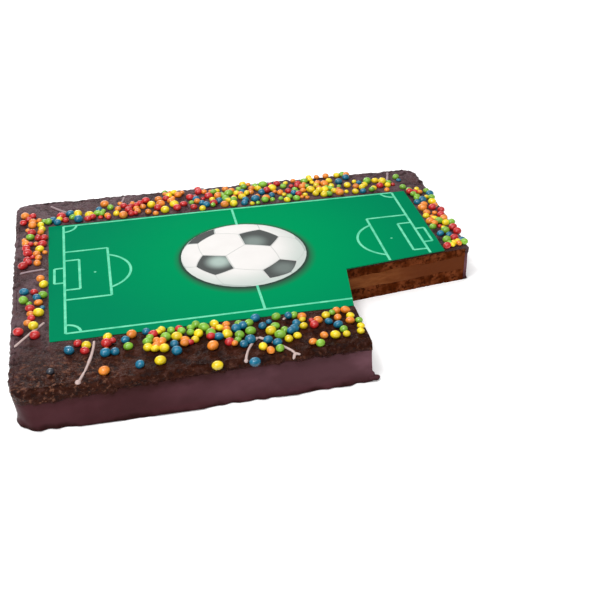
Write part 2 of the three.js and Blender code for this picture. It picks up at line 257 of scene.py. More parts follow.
CANDY_COLOURS = {
    "red": (0.62, 0.02, 0.02),
    "orange": (0.92, 0.27, 0.022),
    "yellow": (0.96, 0.71, 0.008),
    "green": (0.24, 0.52, 0.035),
    "blue": (0.002, 0.165, 0.29),
    "dark": (0.03, 0.035, 0.05),
}

# How often each colour but the dark one falls, in most places and in some stretches of the rim
MIXED_SHARES = (0.18, 0.19, 0.25, 0.18, 0.2)
WARM_SHARES = (0.31, 0.42, 0.18, 0.06, 0.03)
SUNNY_SHARES = (0.1, 0.26, 0.35, 0.2, 0.09)
COOL_SHARES = (0.14, 0.12, 0.26, 0.22, 0.26)
COLOUR_STRETCHES = [
    ((-195, -165), (20, 125), WARM_SHARES),
    ((-112, -38), (95, 140), WARM_SHARES),
    ((-20, 30), (95, 140), SUNNY_SHARES),
    ((68, 130), (95, 140), SUNNY_SHARES),
    ((170, 192), (40, 70), WARM_SHARES),
    ((-92, -60), (-120, -90), SUNNY_SHARES),
    ((-20, 25), (-132, -92), COOL_SHARES),
]

# Lines of pink icing: start, middle and end of each, and the size of its blob end
ICING_WIDTH = 2.3
ICING_TOP = 1.0
ICING_SINK = 0.7
ICING_STEP = 1.2
ICING_TAPER = 1.1
ICING_TIP = 0.02
ICING_LEAST_STEPS = 8
ICING_SIDES = 12
BLOB_SHAPE = np.array([0.9, 1, 0.72])
BLOB_LIFT = 0.3
ICING_LINES = [
    ([(-167, -61.5), (-176, -72), (-189, -90)], 0),
    ([(-188, 17.5), (-178, 20), (-167.5, 20.5)], 0),
    ([(-130.5, -95), (-132, -118), (-143.5, -144.5)], 2.4),
    ([(-10, -117), (-20, -128), (-23.5, -144)], 1.8),
    ([(-10, -117), (3, -128), (13.5, -143)], 1.2),
    ([(12.8, -142), (12.2, -144), (10.8, -146.6)], 0),
    ([(12.8, -142), (14.5, -143), (17, -143.2)], 0),
    ([(12, -99), (15.5, -96), (19, -93)], 0),
    ([(-163, 139), (-151, 124), (-138, 113.5)], 0),
    ([(-100, 121), (-97, 129), (-94, 141)], 0),
    ([(157, 114.5), (161, 125), (164, 136)], 0),
]

# The printed field: its middle on the cake, and its lines' sizes from that middle
FIELD_MIDDLE = np.array([2, 7.25])
FIELD_HALF = (153.4, 87.6)
PENALTY = (37.1, 39.4)
GOAL_AREA = (12.5, 24.1)
GOAL = (8.2, 12.2)
PENALTY_SPOT = 25.2
PENALTY_ARC = 29.6
CORNER_ARC = 11.5
SPOT_RADIUS = 1.0
ARC_POINTS = 40
BACK_POINTS = 60
LINE_WIDTH = 2.05
LINE_RISE = 0.07
LINE_STAGGER = 0.002
LINE_STEP = 2.5
LINE_INSIDE = 1.3
LINE_GAP = 0.15
UNDER_BALL = 1
PRINT_DEPTH = 0.2
DECAL_LEVELS = (0.35, 0.7, 1)

# The printed ball: its middle on the cake, radius, turn in degrees and panels
BALL_MIDDLE = np.array([-0.3, 9.2])
BALL_RADIUS = 53.7
BALL_TURN = (69.7, 61.8, 171.3)
BALL_RISE = 0.05
BALL_RIM = 0.3
PANEL_RISE = 0.1
PANEL_STEPS = 8
BALL_GLOWS = [((-23, 0.5), 1.0), ((11.5, 28), 0.42), ((28.5, -22), 0.26)]
BALL_EYE = 10.5
PENTAGON_SIZE = 0.95
PENTAGON_RISE = 0.13
PENTAGON_LIMIT = 0.2
HEXAGON_SIZE = 0.9758
HEXAGON_LIMIT = -0.25
LEAST_PANEL = 0.004
LINK_TOLERANCE = 0.01

# Places from which materials change, on the cake
FAR_FRONT = (20, -330)
FAR_RIGHT = (260, -150)
CRUMBLY_CORNER = (-158, -152)
LOW_LIP_CORNER = (-192, -150)
RIM_BY_CUT = (125, -80)
SHEET_MIDDLE = (10, 20)

# The floor's half width in metres, and the white light from all round
FLOOR_HALF = 6
WORLD_STRENGTH = 0.33

# Lights, all aimed at the origin, in metres: name, place, width and height, power
LIGHTS = [
    ("overhead", (-0.2, -0.1, 2.5), (3.0, 3.0), 50),
    ("key", (-0.45, -0.35, 1.3), (0.28, 0.28), 6),
    ("front_left", (-1.2, -1.3, 1.0), (1.0, 1.0), 7),
    ("back", (-0.2, 1.55, 0.62), (1.2, 0.34), 7),
]

# Camera, as the photograph was taken: azimuth, elevation and roll, and what it aims at
VIEW_ANGLES = (-10.77, 32.47, -1.15)
VIEW_TARGET = (21.9, -71.4, 34)
VIEW_DISTANCE = 780.6
LENS = 59.19
SENSOR_WIDTH = 36
CLIP_END = 50
SHIFT_X = 0.0202


# Rules shared with the solids

def make_random(seed):
    state = [seed]

    def draw():
        state[0] = (state[0] * 1664525 + 1013904223) % 4294967296
        return state[0] / 4294967296

    return draw


def unevenness(x, y, z):
    long = np.sin(x / 27 + y / 35 + z / 9 + 0.6)
    middle = np.sin(x / 13.7 - y / 11.3 + z / 5 + 2.1)
    short = np.sin(x / 7.9 + y / 6.7 - z / 3.1 + 4.4)
    return 0.5 * long + 0.3 * middle + 0.2 * short


def sides_of(corners):
    """Start, direction and inward normal of each side."""
    along = np.roll(corners, -1, axis=0) - corners
    along /= np.linalg.norm(along, axis=1)[:, None]
    inward = np.column_stack([-along[:, 1], along[:, 0]])
    return list(zip(corners, along, inward))


CAKE_SIDES = sides_of(CORNERS)
SHEET_SIDES = sides_of(SHEET_CORNERS)


def distances_inside(sides, x, y):
    found = [(x - start[0]) * inward[0] + (y - start[1]) * inward[1] for start, along, inward in sides]
    return np.sort(np.stack(found), axis=0)


def inset_at(x, y):
    nearest, second = distances_inside(CAKE_SIDES, x, y)[:2]
    rounded = CORNER_RADIUS - np.hypot(CORNER_RADIUS - nearest, CORNER_RADIUS - second)
    return np.where(second >= CORNER_RADIUS, nearest, rounded)


def beside_sheet(x, y):
    return -distances_inside(SHEET_SIDES, x, y)[0]


def rim_height(x, y):
    evenness = np.minimum(np.maximum(beside_sheet(x, y), 0) / FLAT_WITHIN, 1)
    rounding = LIP_SLOPE * np.maximum(LIP_WIDTH - inset_at(x, y), 0)
    return HEIGHT - rounding + RIM_WAVE * evenness * unevenness(x, y, 0)


def front_cut_x(y):
    near, far = (CUT_CORNER, CUT_BEND) if y > CUT_BEND[1] else (CUT_BEND, CUT_FRONT)
    return near[0] + (far[0] - near[0]) * (y - near[1]) / (far[1] - near[1])


def side_cut_y(x):
    return CUT_CORNER[1] + CUT_RISE * (x - CUT_CORNER[0])


def foot_lean(place, normal):
    left = LEFT_LEAN * np.maximum(-normal[:, 0], 0)
    corner = CORNER_TAPER * np.abs(2 * normal[:, 0] * normal[:, 1])
    part = np.clip((place[:, 0] - FLARE_START) / (FLARE_FULL - FLARE_START), 0, 1)
    front = np.maximum(-normal[:, 1], 0) * part * part * (3 - 2 * part)
    return left + corner - FRONT_FLARE * front


# Mesh helpers

def noise(points, size, seed):
    """Smooth noise from -1 to 1 with features of about this size."""
    cells = points / size
    base = np.floor(cells).astype(np.int64)
    part = cells - base
    part = part * part * (3 - 2 * part)
    total = np.zeros(len(points))
    for corner in itertools.product((0, 1), repeat=3):
        place = base + np.array(corner)
        mixed = place[:, 0] * 73856093 ^ place[:, 1] * 19349663 ^ place[:, 2] * 83492791 ^ seed * 40503
        mixed = (mixed ^ (mixed >> 13)) * 1274126177 & 0xFFFFFFFF
        mixed = mixed ^ (mixed >> 16)
        value = (mixed & 0xFFFF) / 32767.5 - 1
        weight = np.prod(np.where(np.array(corner) == 1, part, 1 - part), axis=1)
        total += weight * value
    return total


def rough_noise(points, size, seed):
    """Two octaves of noise."""
    return 0.65 * noise(points, size, seed) + 0.35 * noise(points, size / 2.3, seed + 7)


def relief(spots, rows, kind=noise):
    """The sum of some rows of noise."""
    return sum(height * kind(spots * (1, 1, squeeze), size, seed) for height, size, seed, squeeze in rows)


def at_height(flat, z):
    """Flat points raised to one height, or each to its own."""
    return np.column_stack([flat, np.broadcast_to(z, len(flat))])


def lengths_along(path):
    """How far along a flat path each of its points lies."""
    return np.concatenate([[0], np.cumsum(np.linalg.norm(np.diff(path, axis=0), axis=1))])


def points_along(path, lengths):
    """The points of a flat path that lie this far along it."""
    known = lengths_along(path)
    return np.column_stack([np.interp(lengths, known, path[:, axis]) for axis in (0, 1)])


def right_of(path):
    """The direction to the right of a flat path at each of its points."""
    along = np.gradient(path, axis=0)
    along /= np.linalg.norm(along, axis=1)[:, None]
    return np.column_stack([along[:, 1], -along[:, 0]])


def join(parts):
    """One list of points and faces from several."""
    points = []
    faces = []
    start = 0
    for part_points, part_faces in parts:
        points.append(np.asarray(part_points, float))
        faces.extend([tuple(start + corner for corner in face) for face in part_faces])
        start += len(part_points)
    return np.concatenate(points), faces


def make_mesh(name, points, faces):
    low = np.array(cad_box[0]) / MM + CLEAR
    high = np.array(cad_box[1]) / MM - CLEAR
    low[2] = 0
    mesh = bpy.data.meshes.new(name)
    mesh.from_pydata((np.clip(points, low, high) * MM).tolist(), [], faces)
    mesh.validate()
    return mesh


def add_object(name, data):
    added = bpy.data.objects.new(name, data)
    bpy.context.scene.collection.objects.link(added)
    return added


def add_piece(name, parts, material, node, sharp=None):
    """A piece of the cake that rides with it and stands for this node of it."""
    mesh = make_mesh(name, *join(parts))
    mesh.materials.append(material)
    mesh.shade_smooth()
    if sharp is not None:
        mesh.set_sharp_from_angle(angle=math.radians(sharp))
    piece = add_object(name, mesh)
    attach(piece, "root")
    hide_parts(node)


def tube_faces(columns, loop, start=0):
    """Quads of an open-ended tube of this many columns, each a closed loop of points."""
    faces = []
    for first in range(start, start + (columns - 1) * loop, loop):
        second = first + loop
        for step in range(loop):
            following = (step + 1) % loop
            faces.append((first + step, second + step, second + following, first + following))
    return faces


def tube_caps(columns, loop):
    """Faces that close the two ends of a tube."""
    last = (columns - 1) * loop
    return [tuple(range(loop)), tuple(reversed(range(last, last + loop)))]


def bilinear_grid(corners, steps_across, steps_along):
    """Points of a grid over four corners, with its faces."""
    across = np.linspace(0, 1, steps_across + 1)[None, :, None]
    along = np.linspace(0, 1, steps_along + 1)[:, None, None]
    front = corners[0] + (corners[1] - corners[0]) * across
    back = corners[3] + (corners[2] - corners[3]) * across
    points = front + (back - front) * along
    row = steps_across + 1
    firsts = [row * line + step for line in range(steps_along) for step in range(steps_across)]
    return points.reshape(-1, 2), [(first, first + 1, first + row + 1, first + row) for first in firsts]


def weld(points, faces):
    """Merges flat points at the same place."""
    kept, place = np.unique(np.round(points, 4), axis=0, return_inverse=True)
    place = place.reshape(-1)
    return kept, [tuple(int(place[corner]) for corner in face) for face in faces]


def thicken(points, faces, top, bottom):
    """A closed slab from flat points and faces, with its height above and below."""
    count = len(points)
    edges = {edge for face in faces for edge in zip(face, face[1:] + face[:1])}
    walls = [
        (start, start + count, end + count, end)
        for start, end in sorted(edges)
        if (end, start) not in edges
    ]
    under = [tuple(corner + count for corner in reversed(face)) for face in faces]
    slab = np.concatenate([at_height(points, top), at_height(points, bottom)])
    return slab, list(faces) + under + walls


def crossing(start_a, along_a, start_b, along_b):
    """Where two flat lines meet."""
    across = along_a[0] * along_b[1] - along_a[1] * along_b[0]
    gap = start_b - start_a
    return start_a + along_a * (gap[0] * along_b[1] - gap[1] * along_b[0]) / across


def notched_grid(corners, spacing):
    """Flat grid over four corners with the missing corner left out."""
    sides = sides_of(corners)
    front_line = CUT_CORNER - CUT_BEND
    side_line = np.array([1, CUT_RISE])
    front_end = crossing(*sides[0][:2], CUT_BEND, front_line)
    side_end = crossing(*sides[1][:2], CUT_CORNER, side_line)
    back_end = crossing(*sides[2][:2], CUT_BEND, front_line)
    share = np.linalg.norm(CUT_CORNER - front_end) / np.linalg.norm(back_end - front_end)
    left_end = corners[0] + (corners[3] - corners[0]) * share
    gaps = (front_end - corners[0], CUT_CORNER - front_end, back_end - CUT_CORNER, side_end - CUT_CORNER)
    left, low, high, right = [round(np.linalg.norm(gap) / spacing) for gap in gaps]
    patches = [
        bilinear_grid((corners[0], front_end, CUT_CORNER, left_end), left, low),
        bilinear_grid((left_end, CUT_CORNER, back_end, corners[3]), left, high),
        bilinear_grid((CUT_CORNER, side_end, corners[2], back_end), right, high),
    ]
    return weld(*join(patches))


# The outline

def arc_centre(before, after):
    start = before[0] + before[2] * CORNER_RADIUS
    target = after[0] + after[2] * CORNER_RADIUS
    return crossing(start, before[1], target, after[1])


def outline(spacing):
    """Points round the cake, anticlockwise from the front left, and their outward normals."""
    places = []
    normals = []
    for index, side in enumerate(CAKE_SIDES):
        before = CAKE_SIDES[index - 1]
        after = CAKE_SIDES[(index + 1) % 4]
        centre = arc_centre(before, side)
        first, last = [math.atan2(-inward[1], -inward[0]) for start, along, inward in (before, side)]
        turn = (last - first) % (2 * math.pi)
        steps = max(3, round(turn * CORNER_RADIUS / spacing))
        for angle in first + turn * np.arange(steps + 1) / steps:
            normals.append(np.array([math.cos(angle), math.sin(angle)]))
            places.append(centre + normals[-1] * CORNER_RADIUS)
        start = places[-1]
        end = arc_centre(side, after) - side[2] * CORNER_RADIUS
        steps = max(1, round(np.linalg.norm(end - start) / spacing))
        for step in range(1, steps):
            places.append(start + (end - start) * step / steps)
            normals.append(-side[2])
    return np.array(places), np.array(normals)


def open_outline(spacing, front_past, side_past):
    """The outline from the side cut round the back to the front cut, running past both cuts."""
    places, normals = outline(spacing)
    missing = (places[:, 0] > CUT_FRONT[0] + front_past) & (places[:, 1] < side_cut_y(WIDTH / 2) - side_past)
    start = int(np.flatnonzero(missing)[-1]) + 1
    kept = np.roll(~missing, -start)
    return np.roll(places, -start, axis=0)[kept], np.roll(normals, -start, axis=0)[kept]


# The chocolate coat

def smooth_profile():
    """The rounded profile, closest stepped at the lip, and its outward direction."""
    corners = np.array(PROFILE, float)
    path = points_along(corners, np.arange(0, lengths_along(corners)[-1], PROFILE_GRAIN))
    ends = [np.repeat(end, PROFILE_BLUR, 0) for end in (path[:1], corners[-1:])]
    padded = np.concatenate([ends[0], path, ends[1]])
    kernel = np.ones(PROFILE_BLUR) / PROFILE_BLUR
    path = np.column_stack([np.convolve(padded[:, axis], kernel, "same") for axis in (0, 1)])
    path = path[PROFILE_BLUR:-PROFILE_BLUR]
    counted = np.cumsum(PROFILE_GRAIN / np.interp(path[:, 1], RING_HEIGHTS, RING_STEPS))
    wanted = np.arange(FIRST_RING, counted[-1] - LAST_RING_GAP)
    chosen = np.append(np.searchsorted(counted, wanted), len(path) - 1)
    return path[chosen], -right_of(path)[chosen]


def side_rings(places, normals):
    """Rings from the foot to the lip's inner edge."""
    path, outward = smooth_profile()
    lean = foot_lean(places, normals)
    sag = LIP_SAG * relief(at_height(places, 0), LIP_WAVES)
    toe = TOE_REACH * np.exp(-np.linalg.norm(places - TOE, axis=1) / TOE_SPREAD)
    rings = []
    for (inset, z), (out, up) in zip(path, outward):
        spots = at_height(places, z)
        foot = max(0, 1 - z / FOOT_HEIGHT)
        lip = min(max((z - LIP_START) / LIP_BLEND, 0), 1)
        under = max(0, 1 - abs(z - LIP_START) / SAG_REACH)
        swell = (SIDE_WAVE + FOOT_WAVE * foot) * unevenness(*places.T, z) + relief(spots, SIDE_RELIEF)
        swell += foot * (relief(spots, FOOT_RELIEF) + FOOT_REACH + toe)
        swell += lip * (relief(spots, LIP_RELIEF, rough_noise) + relief(spots, LIP_GRAIN))
        shift = inset + lean * max(1 - z / LEAN_HEIGHT, 0) - swell * abs(out)
        height = z + swell * up * RISE_SHARE + under * sag
        rings.append(at_height(places - normals * shift[:, None], np.maximum(height, LEAST_HEIGHT)))
    return rings


def sheet_edge(places, tuck):
    """For each outline point, its place on the sheet's edge, moved inwards by the tuck."""
    middle = (SHEET_CORNERS.min(axis=0) + SHEET_CORNERS.max(axis=0)) / 2
    inner = CORNERS - np.sign(CORNERS) * OUTLINE_PULL
    spots = places * np.ptp(SHEET_CORNERS, axis=0) / np.ptp(inner, axis=0) + middle
    depths = np.stack([(spots - start) @ inward for start, along, inward in SHEET_SIDES])
    inwards = np.array([inward for start, along, inward in SHEET_SIDES])[np.argmin(depths, axis=0)]
    return spots - inwards * (depths.min(axis=0) - tuck)[:, None]


def rim_rings(last, places):
    """Rings over the rim from the lip to just under the sheet."""
    edge = sheet_edge(places, 0)
    rings = []
    for share in (np.arange(1, RIM_RINGS + 1) / RIM_RINGS) ** RIM_CROWDING:
        flat = last[:, :2] + (edge - last[:, :2]) * share
        spots = at_height(flat, 0)
        away = np.maximum(beside_sheet(*flat.T), 0)
        lip = np.clip(1 - (inset_at(*flat.T) - LIP_WIDTH) / LIP_FADE, 0, 1)
        bump = relief(spots, RIM_RELIEF, rough_noise)
        bump += lip * (relief(spots, RIM_EDGE_RELIEF, rough_noise) + relief(spots, RIM_EDGE_LUMPS))
        z = rim_height(*flat.T) + bump * np.clip(away / RIM_FADE, LEAST_BUMP, 1)
        rings.append(at_height(flat, z - SHEET_STEP * np.exp(-away / SHEET_STEP_WIDTH)))
    rings.append(at_height(sheet_edge(places, RIM_TUCK), SHEET_BOTTOM - RIM_GAP))
    return rings


def inner_wall(places, normals):
    """The inside of the coat's side, where the layers end."""
    inset = COAT_INSIDE + np.maximum(foot_lean(places, normals), 0)
    return places - normals * inset[:, None]


def inner_rings(places, normals):
    """Hidden rings: under the rim and down inside the side to the foot."""
    wall = inner_wall(places, normals)
    heights = (COAT_CEILING, COAT_CEILING, *INNER_HEIGHTS)
    flats = (sheet_edge(places, RIM_TUCK), wall, wall, wall)
    return [at_height(flat, z) for flat, z in zip(flats, heights)]


def cut_away(mesh, point, normal, zone):
    """Cuts a mesh off along an upright plane, right and in front of a zone's corner, and closes it."""

    def inside(spot):
        return spot[0] / MM > zone[0] and spot[1] / MM < zone[1]

    faces = [face for face in mesh.faces if inside(face.calc_center_median())]
    # Kept in the order found, which a set doesn't do, so that each run divides the cut alike
    edges = dict.fromkeys(edge for face in faces for edge in face.edges)
    corners = dict.fromkeys(corner for face in faces for corner in face.verts)
    bmesh.ops.bisect_plane(
        mesh,
        geom=faces + list(edges) + list(corners),
        plane_co=Vector((*point, 0)) * MM,
        plane_no=Vector((*normal, 0)),
        clear_outer=True,
    )
    open_edges = [edge for edge in mesh.edges if edge.is_boundary and inside(edge.verts[0].co)]
    filled = bmesh.ops.holes_fill(mesh, edges=open_edges, sides=0)
    bmesh.ops.triangulate(mesh, faces=filled["faces"])


def ellipsoid(radii, centre, turn=Matrix.Identity(3), segments=20, rings=12):
    """A closed rounded body turned by a matrix."""
    polar = np.repeat(math.pi * np.arange(1, rings) / rings, segments)
    angle = np.tile(2 * math.pi * np.arange(segments) / segments, rings - 1)
    belts = np.column_stack([np.sin(polar) * np.cos(angle), np.sin(polar) * np.sin(angle), np.cos(polar)])
    points = np.concatenate([[(0, 0, 1)], belts, [(0, 0, -1)]])
    last = len(points) - 1
    faces = tube_faces(rings - 1, segments, 1)
    for segment in range(segments):
        following = (segment + 1) % segments
        faces.append((0, 1 + segment, 1 + following))
        faces.append((last, last - segments + following, last - segments + segment))
    return (points * radii) @ np.array(turn).T + np.array(centre), faces


def tail_parts():
    """The tail's long low body and the drop above it, uneven and flat underneath."""
    start, along, inward = CAKE_SIDES[0]
    y = start[1] + (TAIL["x"] - start[0]) * along[1] / along[0] + TAIL["inset"]
    centre = np.array([TAIL["x"], y, TAIL["z"]])
    radii = TAIL["radius"] * np.array([TAIL["stretch"], 1, CANDY_HEIGHT_RATIO])
    low = ellipsoid(radii, centre, segments=28, rings=18)
    high = ellipsoid(DROP_RADII, centre + DROP_SHIFT, segments=24, rings=16)
    points, faces = join([low, high])
    points += relief(points, TAIL_RELIEF)[:, None]
    points[:, 2] = np.maximum(points[:, 2], INNER_HEIGHTS[1])
    return points, faces


def underlay_parts():
    """The coat under the sheet, which shows as a thin line at the cuts."""
    flat, faces = notched_grid(SHEET_CORNERS + np.sign(SHEET_CORNERS) * RIM_TUCK, UNDERLAY_SPACING)
    return thicken(flat, faces, SHEET_BOTTOM - UNDERLAY_GAP, COAT_CEILING + UNDERLAY_LIFT)


def add_coat(material):
    places, normals = open_outline(COLUMN_STEP, *PAST_CUTS)
    rings = side_rings(places, normals)
    rings += rim_rings(rings[-1], places)
    rings += inner_rings(places, normals)
    loop = len(rings)
    faces = tube_faces(len(places), loop) + tube_caps(len(places), loop)
    body = make_mesh("coat_body", np.stack(rings, axis=1).reshape(-1, 3), faces)
    shaped = bmesh.new()
    shaped.from_mesh(body)
    bpy.data.meshes.remove(body)
    front = CUT_BEND - CUT_FRONT
    cut_away(shaped, (CUT_BEND + CUT_FRONT) / 2, (front[1], -front[0]), FRONT_CUT_ZONE)
    cut_away(shaped, CUT_CORNER, (CUT_RISE, -1), SIDE_CUT_ZONE)
    bmesh.ops.recalc_face_normals(shaped, faces=shaped.faces)
    shaped.verts.index_update()
    points = [tuple(corner.co / MM) for corner in shaped.verts]
    faces = [tuple(corner.index for corner in face.verts) for face in shaped.faces]
    shaped.free()
    parts = [(points, faces), tail_parts(), underlay_parts()]
    add_piece("coat", parts, material, "chocolate_coat", sharp=50)


# Layers of sponge and cream

def layer_path():
    """Round one layer, finely stepped on the cuts: places, and their normals there, else zeros."""
    wall = inner_wall(*open_outline(LAYER_STEP, 0, 0))
    front_y = wall[-1][1]
    side_x = wall[0][0]
    turns = [
        np.array([front_cut_x(front_y), front_y]),
        CUT_BEND,
        CUT_CORNER,
        np.array([side_x, side_cut_y(side_x)]),
    ]
    path = [spot for spot in wall if spot[0] < turns[0][0] - CUT_MARGIN or spot[1] > turns[3][1] + CUT_MARGIN]
    cut_normals = [np.zeros(2)] * len(path)
    for start, end in zip(turns, turns[1:]):
        length = np.linalg.norm(end - start)
        along = (end - start) / length
        steps = round(length / CUT_GRAIN)
        for step in range(steps):
            path.append(start + (end - start) * step / steps)
            cut_normals.append(np.array([along[1], -along[0]]))
    path.append(turns[3])
    cut_normals.append(cut_normals[-1])
    return np.array(path), np.array(cut_normals)


def layer_edge(path, z):
    """Height of a layer's edge: wavy between layers, flat at the base and under the coat."""
    if not 0 < z < COAT_CEILING:
        return z
    return z + relief(at_height(path, z), LAYER_WAVES, rough_noise)


def add_layer(name, material, slot):
    bottom, top, setback, roughness = LAYERS[name]
    path, cut_normals = layer_path()
    low = layer_edge(path, bottom)
    high = layer_edge(path, top)
    rings = []
    for level in np.linspace(0, 1, round((top - bottom) / CUT_GRAIN) + 1):
        spots = at_height(path, low + (high - low) * level)
        depth = np.maximum(setback - roughness * crumb_relief(spots, slot == "sponge"), LEAST_SETBACK)
        rings.append(at_height(path - cut_normals * depth[:, None], spots[:, 2]))
    faces = [(a, d, c, b) for a, b, c, d in tube_faces(len(rings), len(path))]
    faces += [cap[::-1] for cap in tube_caps(len(rings), len(path))]
    add_piece(name + "_crumb", [(np.concatenate(rings), faces)], material, name, sharp=60)


def crumb_relief(spots, porous):
    """Relief of a cut layer: lumps and pores, or the smears of a cream."""
    if not porous:
        return relief(spots, CREAM_RELIEF)
    pores = np.minimum(relief(spots, SPONGE_PORES) + PORE_LEVEL, 0)
    return relief(spots, SPONGE_LUMPS, rough_noise) + pores


# Candies and icing

def place_is_free(x, y, radius, placed, spacing):
    room = min(beside_sheet(x, y) - SHEET_ROOM, inset_at(x, y))
    clear_of_cut = max(front_cut_x(y) - x, y - side_cut_y(x))
    if room < EDGE_ROOM * radius or clear_of_cut < CUT_ROOM * radius:
        return False
    return all(
        (other["x"] - x) ** 2 + (other["y"] - y) ** 2 >= (spacing * (other["radius"] + radius)) ** 2
        for other in placed
    )


def add_candy(candies, draw, x, y, radius, colour=None, lift=0):
    candies.append({
        "x": x,
        "y": y,
        "radius": radius,
        "stretch": 1 + CANDY_STRETCH * draw(),
        "turn": 2 * math.pi * draw(),
        "tilt": CANDY_TILT * (draw() - 0.5),
        "z": float(rim_height(x, y)) + CANDY_HEIGHT_RATIO * radius - CANDY_SINK + lift,
        "colour": colour,
    })


def drop_candy(candies, draw, across, along, radius, spacing):
    """A candy in a free place of a patch, if some tries find one, raised where it lies over others."""
    for attempt in range(CANDY_TRIES):
        x = across[0] + (across[1] - across[0]) * draw()
        y = along[0] + (along[1] - along[0]) * draw()
        if place_is_free(x, y, radius, candies, spacing):
            crowded = not place_is_free(x, y, radius, candies, CANDY_SPACING)
            add_candy(candies, draw, x, y, radius, lift=FILL_LIFT if crowded else 0)
            return


def scatter_candies():
    """The candies of the solids: the lone ones and then patch by patch, from one seeded draw."""
    draw = make_random(CANDY_SEED)
    candies = []
    for x, y, radius, colour in LONE_CANDIES:
        add_candy(candies, draw, x, y, radius, colour)
    for across, along, count, extra in CANDY_PATCHES:
        for number in range(count):
            small = draw() < CANDY_SMALL_SHARE
            grown = CANDY_LEAST + CANDY_SPREAD * draw()
            drop_candy(candies, draw, across, along, CANDY_SMALL if small else grown, CANDY_SPACING)
    return candies


def fill_gaps(candies):
    """Smaller candies that lie in and over the gaps between the others."""
    draw = make_random(FILL_SEED)
    for across, along, count, extra in CANDY_PATCHES:
        for number in range(extra):
            radius = FILL_LEAST + FILL_SPREAD * draw()
            drop_candy(candies, draw, across, along, radius, FILL_SPACING)


def shares_at(x, y):
    for across, along, shares in COLOUR_STRETCHES:
        if across[0] < x < across[1] and along[0] < y < along[1]:
            return shares
    return MIXED_SHARES


def colour_candies(candies):
    """Draws a colour for each candy by the shares at its place. The lone ones keep theirs."""
    draw = make_random(COLOUR_SEED)
    for candy in candies:
        value = draw()
        for colour, share in zip(CANDY_COLOURS, shares_at(candy["x"], candy["y"])):
            value -= share
            if value < 0:
                break
        candy["colour"] = candy["colour"] or colour


def candy_parts(candy):
    """One candy, flattened, turned, tilted and a little uneven."""
    radii = candy["radius"] * np.array([candy["stretch"], 1, CANDY_HEIGHT_RATIO])
    turn = Matrix.Rotation(candy["turn"], 3, "Z") @ Matrix.Rotation(candy["tilt"], 3, "X")
    points, faces = ellipsoid(radii, (candy["x"], candy["y"], candy["z"]), turn)
    return points + relief(points, CANDY_RELIEF)[:, None], faces


def add_candies(materials):
    candies = scatter_candies()
    fill_gaps(candies)
    colour_candies(candies)
    for colour, material in materials.items():
        parts = [candy_parts(candy) for candy in candies if candy["colour"] == colour]
        add_piece("candies_" + colour, parts, material, "chocolate_coat")


def icing_line_parts(path, blob):
    """A rounded line of icing along a curve, with a blob where it ended."""
    start, middle, end = np.array(path, float)
    length = np.linalg.norm(middle - start) + np.linalg.norm(end - middle)
    steps = max(ICING_LEAST_STEPS, round(length / ICING_STEP))
    share = np.linspace(0, 1, steps + 1)[:, None]
    flat = start * (1 - share) ** 2 + 2 * middle * share * (1 - share) + end * share ** 2
    height = rim_height(*flat.T)
    taper = np.sqrt(np.clip(np.minimum(share, 1 - share)[:, 0] * length / ICING_TAPER, ICING_TIP, 1))
    width = ICING_WIDTH / 2 * taper * (1 + relief(at_height(flat, height), ICING_WAVES))
    rows = []
    for angle in np.arange(ICING_SIDES) * 2 * math.pi / ICING_SIDES:
        rise = math.sin(angle)
        aside = right_of(flat) * (width * math.cos(angle))[:, None]
        tall = ICING_TOP if rise > 0 else ICING_SINK
        rows.append(at_height(flat + aside, height + tall * rise * taper))
    faces = [face[::-1] for face in tube_faces(steps + 1, ICING_SIDES)]
    faces += tube_caps(steps + 1, ICING_SIDES)
    parts = [(np.stack(rows, axis=1).reshape(-1, 3), faces)]
    if blob > 0:
        parts.append(ellipsoid(blob * BLOB_SHAPE, (*end, height[-1] + BLOB_LIFT)))
    return parts


def add_icing(material):
    parts = [part for path, blob in ICING_LINES for part in icing_line_parts(path, blob)]
    add_piece("icing_lines", parts, material, "chocolate_coat")


# The sugar sheet and its print

def sheet_height(x, y):
    return HEIGHT - SHEET_SINK + SHEET_WAVE * unevenness(x * SHEET_SQUEEZE, y * SHEET_SQUEEZE, 0)


def waver(flat):
    """Moves the outer edges of the sheet in and out a little, and leaves the cuts straight."""
    at_edge = beside_sheet(*flat.T) > -EDGE_WITHIN
    outward = np.sign(flat) * (np.abs(flat) > np.abs(SHEET_CORNERS).min(axis=0) - EDGE_SLANT)
    shift = EDGE_OUTWARD + relief(at_height(flat, 0), SHEET_WAVES)
    return flat + outward * (at_edge * shift)[:, None]


def add_to_sheet(name, parts, material):
    add_piece(name, parts, material, "sugar_sheet", sharp=40)


def add_sheet(material):
    flat, faces = notched_grid(SHEET_CORNERS, SHEET_SPACING)
    flat = waver(flat)
    add_to_sheet("sheet", [thicken(flat, faces, sheet_height(*flat.T), SHEET_BOTTOM)], material)


def printed(flat, faces, rise):
    """A thin closed print that stands this far proud of the sheet."""
    height = sheet_height(*flat.T)
    return thicken(flat, faces, height + rise, height - PRINT_DEPTH)


def decal(boundary, rise):
    """A print inside a flat outline that its middle can see all round."""
    count = len(boundary)
    centre = boundary.mean(axis=0)
    flat = np.concatenate([[centre]] + [centre + (boundary - centre) * level for level in DECAL_LEVELS])
    fan = [(0, 1 + step, 1 + (step + 1) % count) for step in range(count)]
    return printed(flat, fan + tube_faces(len(DECAL_LEVELS), count, 1), rise)


def strip(path, rise):
    """A print in a line along a flat path."""
    path = np.asarray(path, float)
    length = lengths_along(path)[-1]
    path = points_along(path, np.linspace(0, length, max(2, round(length / LINE_STEP) + 1)))
    across = right_of(path) * LINE_WIDTH / 2
    flat = np.stack([path + across, path - across], axis=1).reshape(-1, 2)
    faces = [(2 * step, 2 * step + 2, 2 * step + 3, 2 * step + 1) for step in range(len(path) - 1)]
    return printed(flat, faces, rise)


